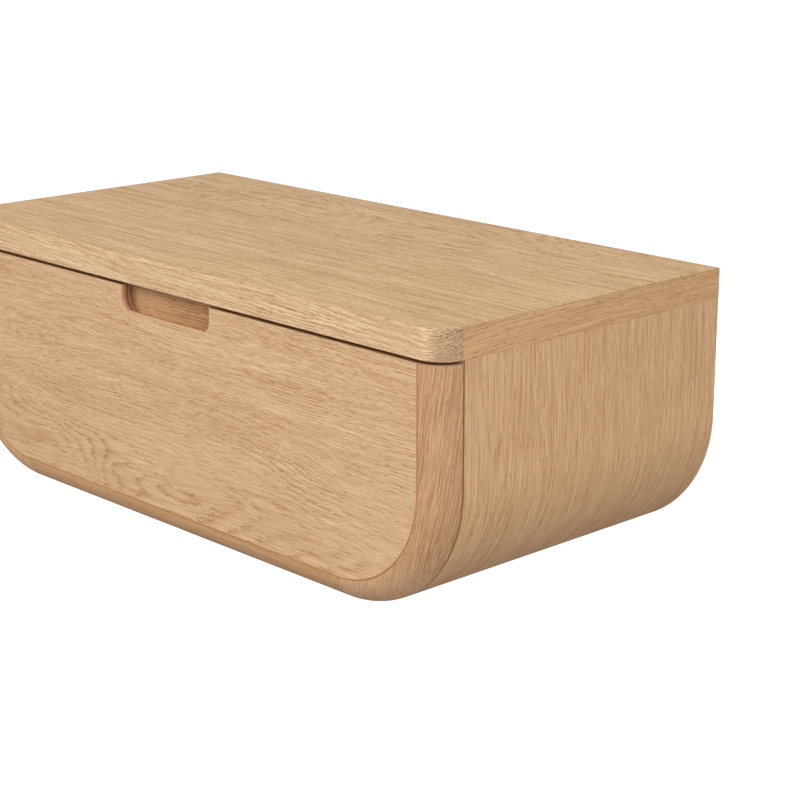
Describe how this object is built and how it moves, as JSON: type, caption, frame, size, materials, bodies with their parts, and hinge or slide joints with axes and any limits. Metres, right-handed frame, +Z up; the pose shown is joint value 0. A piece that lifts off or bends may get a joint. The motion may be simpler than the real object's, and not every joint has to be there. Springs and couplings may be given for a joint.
{
  "type": "floating nightstand",
  "caption": "Wall-hung oak nightstand: top with rounded front corners on a bent U-shaped shell, and a drawer with a rounded front, a finger notch and ball-bearing slides.",
  "frame": {"origin": "middle of the wall cleat's back face, where the nightstand hangs on the wall", "axes": "+X to the right seen from the front, +Y back into the wall, +Z up; the drawer opens towards -Y"},
  "size_m": [0.65, 0.318, 0.237],
  "materials": {
    "oak_veneer": "clear matt lacquer on natural oak veneer",
    "oak_solid": "clear matt lacquer on solid oak",
    "plywood": "lacquered plywood",
    "board_core": "pressed wood board, covered on its visible faces",
    "beech": "planed beech",
    "zinc_steel": "bright zinc plating",
    "cage_steel": "rolled steel, lightly greased",
    "lever_plastic": "moulded black plastic",
    "bumper_rubber": "clear soft bumper"
  },
  "bodies": {
    "cabinet": {"top_core": "board_core", "top_veneer": "oak_veneer", "top_underside_veneer": "oak_veneer", "top_front_lipping": "oak_solid", "top_left_lipping": "oak_solid", "top_right_lipping": "oak_solid", "bent_shell": "oak_veneer", "back_panel": "plywood", "hanging_rail": "beech", "wall_cleat": "beech", "top_dowel_left_1": "beech", "top_dowel_left_2": "beech", "top_dowel_left_3": "beech", "top_dowel_right_1": "beech", "top_dowel_right_2": "beech", "top_dowel_right_3": "beech", "rail_dowel_left_1": "beech", "rail_dowel_left_2": "beech", "rail_dowel_right_1": "beech", "rail_dowel_right_2": "beech", "cabinet_slide_screw_left_1": "zinc_steel", "cabinet_slide_screw_left_2": "zinc_steel", "cabinet_slide_screw_right_1": "zinc_steel", "cabinet_slide_screw_right_2": "zinc_steel", "slide_outer_left": "zinc_steel", "slide_outer_right": "zinc_steel"},
    "drawer": {"drawer_front_panel": "oak_veneer", "drawer_front_backing": "plywood", "drawer_front_left_lipping": "oak_solid", "drawer_front_right_lipping": "oak_solid", "drawer_front_bottom_lipping": "oak_solid", "bumper_left": "bumper_rubber", "bumper_right": "bumper_rubber", "front_screw_left_1": "zinc_steel", "front_screw_left_2": "zinc_steel", "front_screw_right_1": "zinc_steel", "front_screw_right_2": "zinc_steel", "drawer_side_left": "plywood", "drawer_side_right": "plywood", "drawer_box_front": "plywood", "drawer_box_back": "plywood", "drawer_bottom": "plywood", "drawer_slide_screw_left_1": "zinc_steel", "drawer_slide_screw_left_2": "zinc_steel", "drawer_slide_screw_right_1": "zinc_steel", "drawer_slide_screw_right_2": "zinc_steel", "slide_inner_left": "zinc_steel", "slide_inner_right": "zinc_steel", "lever_pin_left": "zinc_steel", "lever_pin_right": "zinc_steel"},
    "slide_middle_left": {"slide_middle_left": "zinc_steel"},
    "slide_middle_right": {"slide_middle_right": "zinc_steel"},
    "ball_cage_outer_left": {"ball_cage_outer_left": "cage_steel"},
    "ball_cage_outer_right": {"ball_cage_outer_right": "cage_steel"},
    "ball_cage_inner_left": {"ball_cage_inner_left": "cage_steel"},
    "ball_cage_inner_right": {"ball_cage_inner_right": "cage_steel"},
    "release_lever_left": {"release_lever_left": "lever_plastic"},
    "release_lever_right": {"release_lever_right": "lever_plastic"}
  },
  "joints": [
    {"name": "drawer_travel", "type": "slide", "parent": "cabinet", "child": "drawer", "axis": [0, -1, 0], "range_m": [0, 0.25]},
    {"name": "slide_middle_left_travel", "type": "slide", "parent": "cabinet", "child": "slide_middle_left", "axis": [0, -1, 0], "range_m": [0, 0.125]},
    {"name": "slide_middle_right_travel", "type": "slide", "parent": "cabinet", "child": "slide_middle_right", "axis": [0, -1, 0], "range_m": [0, 0.125]},
    {"name": "ball_cage_outer_left_travel", "type": "slide", "parent": "cabinet", "child": "ball_cage_outer_left", "axis": [0, -1, 0], "range_m": [0, 0.0625]},
    {"name": "ball_cage_outer_right_travel", "type": "slide", "parent": "cabinet", "child": "ball_cage_outer_right", "axis": [0, -1, 0], "range_m": [0, 0.0625]},
    {"name": "ball_cage_inner_left_travel", "type": "slide", "parent": "cabinet", "child": "ball_cage_inner_left", "axis": [0, -1, 0], "range_m": [0, 0.1875]},
    {"name": "ball_cage_inner_right_travel", "type": "slide", "parent": "cabinet", "child": "ball_cage_inner_right", "axis": [0, -1, 0], "range_m": [0, 0.1875]},
    {"name": "release_lever_left_tilt", "type": "hinge", "parent": "drawer", "child": "release_lever_left", "pos_m": [-0.2969, -0.1495, 0.00042], "axis": [1, 0, 0], "range_deg": [-6, 6], "stiffness_Nm_per_rad": 0.02},
    {"name": "release_lever_right_tilt", "type": "hinge", "parent": "drawer", "child": "release_lever_right", "pos_m": [0.2969, -0.1495, 0.00042], "axis": [1, 0, 0], "range_deg": [-6, 6], "stiffness_Nm_per_rad": 0.02}
  ],
  "couplings": [
    {"joint": "slide_middle_left_travel", "follows": "drawer_travel", "ratio": 0.5},
    {"joint": "slide_middle_right_travel", "follows": "drawer_travel", "ratio": 0.5},
    {"joint": "ball_cage_outer_left_travel", "follows": "drawer_travel", "ratio": 0.25},
    {"joint": "ball_cage_outer_right_travel", "follows": "drawer_travel", "ratio": 0.25},
    {"joint": "ball_cage_inner_left_travel", "follows": "drawer_travel", "ratio": 0.75},
    {"joint": "ball_cage_inner_right_travel", "follows": "drawer_travel", "ratio": 0.75}
  ]
}
